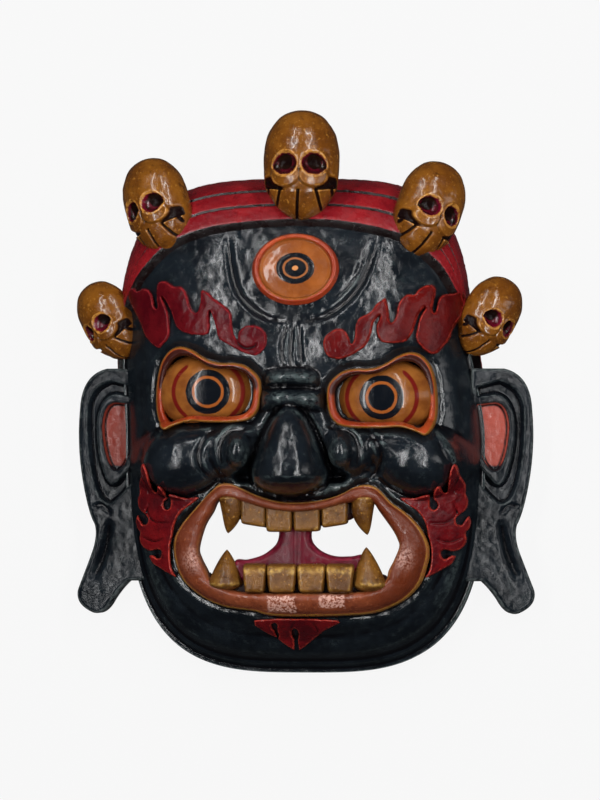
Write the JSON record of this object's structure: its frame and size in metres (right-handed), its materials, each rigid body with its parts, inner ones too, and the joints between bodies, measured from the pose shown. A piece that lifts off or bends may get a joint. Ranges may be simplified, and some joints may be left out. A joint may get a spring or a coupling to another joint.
{
  "type": "carved cham mask",
  "caption": "Hollow carved wooden dance mask: fierce fanged face, third eye, flame brows, long-lobed ears and a headband of skulls, lying on its flat back rim.",
  "frame": {"origin": "middle of the whole outline, on the plane of the flat back rim", "axes": "+Z out of the face, +Y towards the crown, +X to the viewer's right, which is the mask's own left ear"},
  "size_m": [0.3428, 0.4186, 0.138],
  "materials": {
    "lacquered_wood": "glossy hand-painted lacquer over carved wood: blue-black face, crimson band, brows and flames, ochre skulls, antique gold teeth, terracotta lips"
  },
  "bodies": {
    "root": {"mask": "lacquered_wood"}
  },
  "joints": []
}
